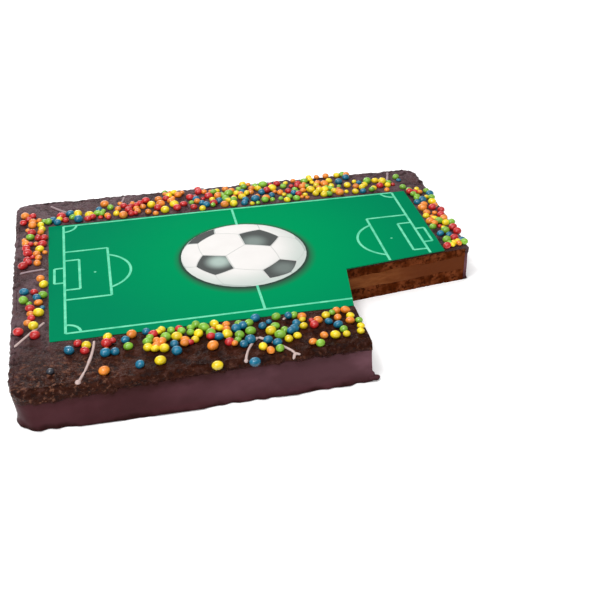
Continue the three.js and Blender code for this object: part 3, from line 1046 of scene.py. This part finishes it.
def arc(centre, radius, start, end):
    """Flat points of an arc between two angles in degrees."""
    angles = np.radians(np.linspace(start, end, ARC_POINTS))
    return np.column_stack([centre[0] + radius * np.cos(angles), centre[1] + radius * np.sin(angles)])


def circle(centre, radius):
    return arc(centre, radius, 0, 360 - 360 / ARC_POINTS)


def back_edge(x):
    """How far back a line may lie at this x."""
    left, right = SHEET_CORNERS[[3, 2]]
    return left[1] + (right[1] - left[1]) * (x - left[0]) / (right[0] - left[0]) - LINE_INSIDE


def on_sheet(path):
    """The part of a path that lies on the sheet."""
    return [(x, y) for x, y in path if y < back_edge(x)]


def end_at_cut(x):
    """The y where a line across the field at this x ends: at the side cut, or at the front line."""
    front = FIELD_MIDDLE[1] - FIELD_HALF[1]
    return max(front, side_cut_y(x) + LINE_GAP) if x > CUT_CORNER[0] else front


def field_lines():
    """All lines of the printed field, cut off where the corner is missing."""
    middle_x, middle_y = FIELD_MIDDLE
    left, front = FIELD_MIDDLE - FIELD_HALF
    right, back = FIELD_MIDDLE + FIELD_HALF
    lines = [
        [(left, front), (front_cut_x(front) - LINE_GAP, front)],
        [(x, min(back, back_edge(x))) for x in np.linspace(left, right, BACK_POINTS)],
        [(middle_x, front), (middle_x, BALL_MIDDLE[1] - BALL_RADIUS + UNDER_BALL)],
        [(middle_x, BALL_MIDDLE[1] + BALL_RADIUS - UNDER_BALL), (middle_x, back)],
    ]
    for side, goal_line in ((-1, left), (1, right)):
        lines.append([(goal_line, end_at_cut(goal_line)), (goal_line, min(back, back_edge(goal_line)))])
        for depth, half in (PENALTY, GOAL_AREA, (-GOAL[0], GOAL[1])):
            lines.extend(box_lines(goal_line, goal_line - side * depth, middle_y, half))
        lines.append(penalty_arc(side, goal_line, middle_y))
    lines.append(arc((left, front), CORNER_ARC, 0, 90))
    lines.append(on_sheet(arc((left, back), CORNER_ARC, -90, 0)))
    lines.append(on_sheet(arc((right, back), CORNER_ARC, 180, 270)))
    return lines


def box_lines(goal_line, far, middle_y, half):
    """Three sides of a box on a goal line, its front ones cut off at the missing corner."""
    low = middle_y - half
    kept = max(low, end_at_cut(far))
    lines = [
        [(goal_line, middle_y + half), (far, middle_y + half)],
        [(far, middle_y + half), (far, kept)],
    ]
    if kept == low and end_at_cut(goal_line) < low:
        lines.append([(goal_line, low), (far, low)])
    return lines


def penalty_arc(side, goal_line, middle_y):
    """The arc outside a penalty area."""
    centre = (goal_line - side * PENALTY_SPOT, middle_y)
    opening = math.degrees(math.acos((PENALTY[0] - PENALTY_SPOT) / PENALTY_ARC))
    facing = 0 if side < 0 else 180
    return arc(centre, PENALTY_ARC, facing - opening, facing + opening)


def add_field(material):
    parts = [strip(path, LINE_RISE + LINE_STAGGER * number) for number, path in enumerate(field_lines())]
    for side in (-1, 1):
        spot = (FIELD_MIDDLE[0] + side * (FIELD_HALF[0] - PENALTY_SPOT), FIELD_MIDDLE[1])
        parts.append(decal(circle(spot, SPOT_RADIUS), LINE_RISE))
    add_to_sheet("field_lines", parts, material)


def icosahedron():
    golden = (1 + math.sqrt(5)) / 2
    corners = []
    for first, second in itertools.product((1, -1), (1, -1)):
        corners.append((0, first, second * golden))
        corners.append((first, second * golden, 0))
        corners.append((second * golden, 0, first))
    corners = np.array(corners, float)
    return corners / np.linalg.norm(corners, axis=1)[:, None]


def around(centre, spots):
    """Places on the ball in order round a centre."""
    side = np.cross(centre, spots[0])
    side /= np.linalg.norm(side)
    up = np.cross(centre, side)
    return sorted(spots, key=lambda spot: math.atan2(spot @ up, spot @ side))


def panel_outline(centre, spots, size):
    """A panel's flat outline: its edges bowed over the ball, kept on the side that shows."""
    ordered = around(centre, spots)
    flat = []
    for start, end in zip(ordered, ordered[1:] + ordered[:1]):
        for share in np.linspace(0, 1, PANEL_STEPS, endpoint=False):
            spot = start + (end - start) * share
            spot = centre + (spot / np.linalg.norm(spot) - centre) * size
            spot = spot / np.linalg.norm(spot)
            if spot[2] > 1 / BALL_EYE:
                flat.append(spot[:2] * math.sqrt(BALL_EYE ** 2 - 1) / (BALL_EYE - spot[2]))
            else:
                flat.append(spot[:2] / np.linalg.norm(spot[:2]))
    return np.array(flat)


def ball_panels():
    """The ball's dark pentagons and white hexagons: centre, corners and size of each."""
    turn = np.array(Euler([math.radians(angle) for angle in BALL_TURN], "XYZ").to_matrix())
    corners = icosahedron() @ turn.T
    close = corners @ corners.T
    linked = np.abs(close - np.sort(close[0])[-2]) < LINK_TOLERANCE
    pentagons = []
    for corner, links in zip(corners, linked):
        pentagons.append((corner, list((2 * corner + corners[links]) / 3), PENTAGON_SIZE))
    hexagons = []
    for trio in itertools.combinations(range(12), 3):
        pairs = list(itertools.permutations(trio, 2))
        if all(linked[pair] for pair in pairs):
            centre = corners[list(trio)].sum(axis=0)
            spots = [(2 * corners[first] + corners[second]) / 3 for first, second in pairs]
            hexagons.append((centre / np.linalg.norm(centre), spots, HEXAGON_SIZE))
    return pentagons, hexagons


def panel_parts(panels, rise, limit):
    """Prints of the panels that face up further than the limit."""
    flats = [panel_outline(*panel) for panel in panels if panel[0][2] >= limit]
    reach = BALL_RADIUS - BALL_RIM
    return [decal(BALL_MIDDLE + flat * reach, rise) for flat in flats if polygon_area(flat) >= LEAST_PANEL]


def polygon_area(flat):
    x, y = flat.T
    return 0.5 * float(np.sum(x * np.roll(y, -1) - y * np.roll(x, -1)))


def add_ball(seam_material, white_material, dark_material):
    pentagons, hexagons = ball_panels()
    add_to_sheet("ball_seams", [decal(circle(BALL_MIDDLE, BALL_RADIUS), BALL_RISE)], seam_material)
    add_to_sheet("ball_white", panel_parts(hexagons, PANEL_RISE, HEXAGON_LIMIT), white_material)
    add_to_sheet("ball_dark", panel_parts(pentagons, PENTAGON_RISE, PENTAGON_LIMIT), dark_material)


# Materials

class Nodes:
    """The nodes of one material, in the object's own coordinates."""

    def __init__(self, name, **values):
        self.material = bpy.data.materials.new(name)
        self.material.use_nodes = True
        self.tree = self.material.node_tree
        self.shader = self.tree.nodes["Principled BSDF"]
        for key, value in values.items():
            self.shader.inputs[key.replace("_", " ")].default_value = value
        self.place = self.tree.nodes.new("ShaderNodeTexCoord").outputs["Object"]

    def node(self, kind, **inputs):
        """A new node with its inputs set to numbers, or linked to sockets."""
        node = self.tree.nodes.new("ShaderNode" + kind)
        for name, value in inputs.items():
            self.fill(node.inputs[name.replace("_", " ")], value)
        return node

    def fill(self, slot, value):
        if isinstance(value, bpy.types.NodeSocket):
            self.tree.links.new(value, slot)
        else:
            slot.default_value = value

    def noise(self, scale, detail=3, roughness=0.5, stretch=None):
        place = self.stretched(stretch) if stretch else self.place
        node = self.node("TexNoise", Scale=scale, Detail=detail, Roughness=roughness, Vector=place)
        return node.outputs["Fac"]

    def stretched(self, scale):
        return self.node("Mapping", Scale=scale, Vector=self.place).outputs["Vector"]

    def height(self):
        return self.node("SeparateXYZ", Vector=self.place).outputs["Z"]

    def range(self, value, low, high, to_low=0.0, to_high=1.0):
        """A number that goes smoothly from one value to another."""
        limits = {"From_Min": low, "From_Max": high, "To_Min": to_low, "To_Max": to_high}
        node = self.node("MapRange", Value=value, **limits)
        node.interpolation_type = "SMOOTHSTEP"
        return node.outputs["Result"]

    def clouds(self, scale, low, high, to_low=0.0, to_high=1.0, **kind):
        """Noise with its middle values drawn apart."""
        return self.range(self.noise(scale, **kind), low, high, to_low, to_high)

    def near(self, centre, *limits):
        """A number that goes with the distance in millimetres from a place on the cake."""
        node = self.tree.nodes.new("ShaderNodeVectorMath")
        node.operation = "DISTANCE"
        self.fill(node.inputs[0], self.stretched((1000, 1000, 0)))
        self.fill(node.inputs[1], (*centre, 0))
        return self.range(node.outputs["Value"], *limits)

    def math(self, operation, first, second):
        node = self.tree.nodes.new("ShaderNodeMath")
        node.operation = operation
        self.fill(node.inputs[0], first)
        self.fill(node.inputs[1], second)
        return node.outputs["Value"]

    def plus(self, first, second):
        return self.math("ADD", first, second)

    def times(self, first, second):
        return self.math("MULTIPLY", first, second)

    def mix(self, factor, first, second):
        """A colour between two, each a colour or a socket."""
        node = self.tree.nodes.new("ShaderNodeMix")
        node.data_type = "RGBA"
        values = {"Factor_Float": factor, "A_Color": first, "B_Color": second}
        for slot in node.inputs:
            if slot.identifier in values:
                value = values[slot.identifier]
                self.fill(slot, (*value, 1) if isinstance(value, tuple) else value)
        return next(slot for slot in node.outputs if slot.identifier == "Result_Color")

    def coats(self, colour, *coats):
        """A colour with others laid over it in turn, each with its share."""
        for share, coat in coats:
            colour = self.mix(share, colour, coat)
        return colour

    def finish(self, colour, rough=None, bump=None):
        """The material with this colour, roughness and bump: height, strength and millimetres."""
        self.fill(self.shader.inputs["Base Color"], colour)
        if rough:
            self.fill(self.shader.inputs["Roughness"], rough)
        if bump:
            height, strength, distance = bump
            node = self.node("Bump", Strength=strength, Distance=distance * MM, Height=height)
            self.fill(self.shader.inputs["Normal"], node.outputs["Normal"])
        return self.material


def coat_side(nodes, height, ragged, cloud):
    """The smooth side: paler to the right from a painted sheen, in broad darker patches, with painted shade
    at the foot and a painted shadow under the lip.
    """
    painted_sheen_rightwards = nodes.near(FAR_RIGHT, 400, 165)
    side = nodes.mix(cloud, (0.052, 0.0145, 0.0175), (0.071, 0.022, 0.027))
    # Painted sheen: the side is mixed towards a paler purple to the right, where the light falls on its
    # satin.
    side = nodes.mix(painted_sheen_rightwards, side, (0.15, 0.066, 0.083))
    # Below about 12 mm the side fades to one plain colour, without its clouds or the painted sheen.
    side = nodes.mix(nodes.range(height, 0.0, 0.012), (0.062, 0.019, 0.0235), side)
    patches = nodes.clouds(20, 0.42, 0.62, stretch=(1, 1, 1.8))
    # Painted contact shade: the side darkens at the foot, with a noisy upper edge.
    foot_shade_edge_noise = nodes.times(nodes.noise(70), 0.008)
    foot = nodes.range(nodes.plus(height, foot_shade_edge_noise), 0.0082, 0.0045)
    shadow = nodes.range(nodes.plus(height, ragged), 0.023, 0.0325)
    return nodes.coats(
        side,
        (nodes.times(patches, 0.5), (0.037, 0.011, 0.0118)),
        (nodes.times(foot, 0.85), (0.018, 0.0045, 0.0035)),
        (nodes.times(shadow, nodes.range(painted_sheen_rightwards, 0, 1, 0.85, 0.3)), (0.026, 0.0055, 0.0035)),
    )


def coat_rim(nodes, height, lumps, cloud):
    """The lumpy rim: painted shade in its hollows and painted light on its lumps, greyer towards the back
    from a painted sheen, crumbs at the lip and one corner.
    """
    # Painted sheen: the rim turns a paler purple-grey away from the front, except near the cut.
    painted_sheen_back = nodes.times(nodes.near(FAR_FRONT, 262, 350), nodes.near(RIM_BY_CUT, 68, 85))
    crumb = nodes.clouds(300, 0.54, 0.64, detail=4, roughness=0.7)
    edge = nodes.range(height, 0.0338, 0.0325, 0.08, 0.35)
    corner = nodes.near(CRUMBLY_CORNER, 70, 25, 0.0, 0.8)
    return nodes.coats(
        nodes.mix(cloud, (0.023, 0.0048, 0.0016), (0.04, 0.0095, 0.0042)),
        # Painted shade in the hollows of the lumps, which also shape the bump; painted light on their tops
        # further down.
        (nodes.range(lumps, 0.5, 0.36, 0.0, 0.85), (0.009, 0.0022, 0.001)),
        (nodes.times(painted_sheen_back, cloud), (0.135, 0.081, 0.094)),
        (nodes.times(painted_sheen_back, 0.5), (0.092, 0.056, 0.064)),
        (nodes.range(lumps, 0.49, 0.37, 0.0, 0.65), (0.018, 0.0065, 0.0055)),
        (nodes.range(lumps, 0.54, 0.68, 0.0, 0.5), (0.082, 0.033, 0.026)),
        (nodes.times(crumb, nodes.math("MAXIMUM", edge, corner)), (0.175, 0.073, 0.044)),
    )


def coat_material():
    """Dark chocolate: satin on the side, glossier and lumpy on the rim."""
    nodes = Nodes("chocolate_coat", IOR=1.45, Specular_IOR_Level=0.055)
    height = nodes.height()
    cloud = nodes.clouds(32, 0.35, 0.65, detail=4)
    lumps = nodes.noise(155, 3, 0.6)
    ragged = nodes.times(nodes.noise(110, 4, 0.6), 0.011)
    lower = nodes.near(LOW_LIP_CORNER, 125, 40, 0.0, 0.0042)
    top = nodes.range(nodes.plus(height, nodes.plus(ragged, lower)), 0.031, 0.034)
    side = coat_side(nodes, height, ragged, cloud)
    rim = coat_rim(nodes, height, lumps, cloud)
    rim_rough = nodes.times(top, nodes.clouds(420, 0.35, 0.65, 0.2, 0.34, detail=4, roughness=0.6))
    side_rough = nodes.times(nodes.math("SUBTRACT", 1, top), nodes.clouds(90, 0.3, 0.7, 0.36, 0.46))
    grain = nodes.plus(nodes.noise(600, 3, 0.6), nodes.times(lumps, 3))
    bump = nodes.times(grain, nodes.range(top, 0, 1, 0.08, 1))
    return nodes.finish(nodes.mix(top, side, rim), nodes.plus(side_rough, rim_rough), (bump, 0.85, 0.9))


def candy_material(name, colour):
    """A hard sugar shell, a little uneven in colour, and darkened low down where it sits in the chocolate as
    painted shade.
    """
    nodes = Nodes("candy_" + name, Roughness=0.2, IOR=1.47, Coat_Weight=0.3, Coat_Roughness=0.06)
    darker, painted_low_shade = [tuple(share * part for part in colour) for share in (0.72, 0.2)]
    shell = nodes.mix(nodes.clouds(170, 0.35, 0.65), colour, darker)
    # Painted shade: the lower part, below about 35 mm, is darkened towards a fifth of the colour.
    shell = nodes.mix(nodes.range(nodes.height(), 0.0332, 0.0356, 0.75, 0.0), shell, painted_low_shade)
    return nodes.finish(shell, bump=(nodes.noise(700, 2), 0.15, 0.12))


def icing_material():
    """Pale pink, greyer towards the back."""
    nodes = Nodes("pink_icing", Roughness=0.42, IOR=1.45, Specular_IOR_Level=0.35)
    pink = nodes.mix(nodes.noise(260), (0.46, 0.33, 0.31), (0.56, 0.43, 0.4))
    pink = nodes.mix(nodes.near(FAR_FRONT, 310, 400, 0.0, 0.7), pink, (0.22, 0.15, 0.18))
    return nodes.finish(pink, bump=(nodes.noise(900, 2), 0.3, 0.15))


def sponge_material():
    """Open reddish-brown crumb, darkened overall as painted shade, and darkest in the pits of its bump as
    painted shade in the pores.
    """
    nodes = Nodes("sponge_crumb", Roughness=0.85, IOR=1.35, Specular_IOR_Level=0.01)
    crumb = nodes.noise(320, 3, 0.55)
    # Painted shade: both colours are far darker than the crumb itself, as it looks in shade.
    warm = nodes.mix(nodes.clouds(110, 0.35, 0.65), (0.07, 0.0125, 0.002), (0.185, 0.047, 0.0155))
    # Painted shade in the pores: darkest where the crumb noise, which also shapes the bump, is low.
    colour = nodes.mix(nodes.range(crumb, 0.3, 0.58), (0.04, 0.0075, 0.0018), warm)
    return nodes.finish(colour, bump=(crumb, 0.8, 0.6))


def cream_material():
    """Smooth brown cream with faint smears, darkened overall as painted shade, and darker still away from the
    corner between the cuts as a painted shadow.
    """
    nodes = Nodes("chocolate_cream", Roughness=0.6, IOR=1.4, Specular_IOR_Level=0.08)
    smear = nodes.noise(70, 4, 0.55, stretch=(1, 1, 3.5))
    # Painted shade: the colours are far darker than the cream itself.
    cream = nodes.mix(nodes.range(smear, 0.35, 0.65), (0.155, 0.04, 0.008), (0.225, 0.068, 0.018))
    # Painted shadow: darker away from the corner between the cuts.
    cream = nodes.mix(nodes.near(CUT_CORNER, 20, 75, 0.0, 0.95), cream, (0.115, 0.026, 0.0055))
    return nodes.finish(cream, bump=(smear, 0.4, 0.4))


def sheet_material():
    """Printed green sugar: a little darker to the edges, with the ball's soft shadow."""
    nodes = Nodes("printed_green", Roughness=0.42, IOR=1.4, Specular_IOR_Level=0.001)
    soft = nodes.near(BALL_MIDDLE + (0.5, -3.5), BALL_RADIUS + 8.5, BALL_RADIUS - 1)
    close = nodes.near(BALL_MIDDLE + (0, -0.9), BALL_RADIUS + 3, BALL_RADIUS + 0.6)
    green = nodes.coats(
        (0.0002, 0.262, 0.089),
        (nodes.near(SHEET_MIDDLE, 40, 175), (0.0012, 0.19, 0.084)),
        (nodes.times(nodes.clouds(28, 0.3, 0.7), 0.2), (0.0003, 0.235, 0.087)),
        (nodes.times(soft, 0.8), (0.03, 0.07, 0.048)),
        (nodes.times(close, 0.85), (0.03, 0.05, 0.04)),
    )
    return nodes.finish(green, nodes.clouds(60, 0.3, 0.7, 0.36, 0.48), (nodes.noise(130), 0.25, 0.25))


def line_material():
    nodes = Nodes("mint_lines", Roughness=0.42, IOR=1.4, Specular_IOR_Level=0.01)
    return nodes.finish(nodes.mix(nodes.clouds(160, 0.3, 0.7), (0.09, 0.53, 0.315), (0.17, 0.66, 0.42)))


def ball_white_material():
    """White, greyer towards the ball's front right rim."""
    nodes = Nodes("ball_white", Roughness=0.42, IOR=1.4, Specular_IOR_Level=0.04)
    shade = nodes.times(nodes.near(BALL_MIDDLE + (-8, 12), 34, 66), 0.8)
    paper = nodes.mix(nodes.noise(60, 2), (0.7, 0.67, 0.65), (0.76, 0.74, 0.72))
    return nodes.finish(nodes.mix(shade, paper, (0.43, 0.5, 0.46)))


def ball_seam_material():
    nodes = Nodes("ball_seams", Roughness=0.45, IOR=1.4, Specular_IOR_Level=0.04)
    shade = nodes.near(BALL_MIDDLE, BALL_RADIUS - 9, BALL_RADIUS)
    return nodes.finish(nodes.mix(shade, (0.55, 0.55, 0.53), (0.36, 0.42, 0.39)))


def ball_dark_material():
    """Grey-green pentagons with paler middles."""
    nodes = Nodes("ball_dark", Roughness=0.42, IOR=1.4, Specular_IOR_Level=0.04)
    glow = 0.0
    for place, strength in BALL_GLOWS:
        glow = nodes.math("MAXIMUM", nodes.times(nodes.near(place, 15, 3), strength), glow)
    return nodes.finish(nodes.mix(glow, (0.066, 0.072, 0.07), (0.36, 0.45, 0.41)))


# Scene

def add_floor():
    mesh = bpy.data.meshes.new("floor")
    corners = [(x * FLOOR_HALF, y * FLOOR_HALF, 0) for x, y in ((-1, -1), (1, -1), (1, 1), (-1, 1))]
    mesh.from_pydata(corners, [], [(0, 1, 2, 3)])
    nodes = Nodes("pale_floor", Emission_Strength=0.18, Roughness=0.9, Specular_IOR_Level=0.1)
    nodes.shader.inputs["Base Color"].default_value = (0.95, 0.95, 0.95, 1)
    nodes.shader.inputs["Emission Color"].default_value = (1, 1, 1, 1)
    mesh.materials.append(nodes.material)
    add_object("floor", mesh)


def add_lights():
    for name, place, size, power in LIGHTS:
        data = bpy.data.lights.new(name, "AREA")
        data.shape = "RECTANGLE"
        data.size, data.size_y = size
        data.energy = power
        light = add_object(name, data)
        light.location = place
        light.rotation_euler = (-Vector(place)).to_track_quat("-Z", "Y").to_euler()
    world = bpy.data.worlds.new("studio")
    world.use_nodes = True
    background = world.node_tree.nodes["Background"]
    background.inputs["Color"].default_value = (1, 1, 1, 1)
    background.inputs["Strength"].default_value = WORLD_STRENGTH
    bpy.context.scene.world = world


def add_camera():
    azimuth, elevation, roll = np.radians(VIEW_ANGLES)
    turn = Euler((math.pi / 2 - elevation, 0, azimuth)).to_matrix() @ Matrix.Rotation(roll, 3, "Z")
    data = bpy.data.cameras.new("camera")
    data.lens = LENS
    data.sensor_width = SENSOR_WIDTH
    data.shift_x = SHIFT_X
    data.clip_end = CLIP_END
    camera = add_object("camera", data)
    eye = Vector(VIEW_TARGET) + turn @ Vector((0, 0, VIEW_DISTANCE))
    camera.matrix_world = Matrix.Translation(eye * MM) @ turn.to_4x4()
    bpy.context.scene.camera = camera


add_camera()
add_lights()
add_floor()
bpy.context.scene.view_settings.view_transform = "Standard"
sponge = sponge_material()
add_coat(coat_material())
add_layer("sponge_bottom", sponge, "sponge")
add_layer("cream_filling", cream_material(), "cream")
add_layer("sponge_top", sponge, "sponge")
add_candies({name: candy_material(name, colour) for name, colour in CANDY_COLOURS.items()})
add_icing(icing_material())
add_sheet(sheet_material())
add_field(line_material())
add_ball(ball_seam_material(), ball_white_material(), ball_dark_material())
